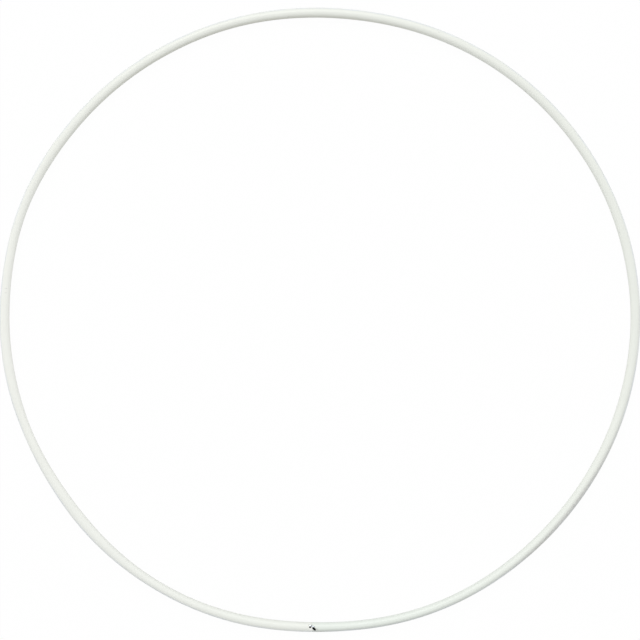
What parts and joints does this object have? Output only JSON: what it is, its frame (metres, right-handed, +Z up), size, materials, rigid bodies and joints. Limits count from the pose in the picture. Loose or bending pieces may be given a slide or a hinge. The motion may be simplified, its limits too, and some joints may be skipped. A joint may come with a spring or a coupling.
{
  "type": "rhythmic gymnastics hoop",
  "caption": "Plain white gymnastics hoop: a thin plastic tube bent into a ring, joined over an inner plug and stapled.",
  "frame": {"origin": "on the floor, under the middle of the box round the ring", "axes": "+Z up, out of the ring's plane; the ring is widest along X; its seam lies on the -Y side"},
  "size_m": [0.9104, 0.8874, 0.014],
  "materials": {
    "tube_plastic": "smooth white plastic with a faint green tint, lightly glossy",
    "plug_plastic": "black moulded plastic, matt",
    "staple_steel": "bright galvanised flat wire"
  },
  "bodies": {
    "root": {"hoop_tube": "tube_plastic", "joint_plug": "plug_plastic", "staple": "staple_steel"}
  },
  "joints": []
}
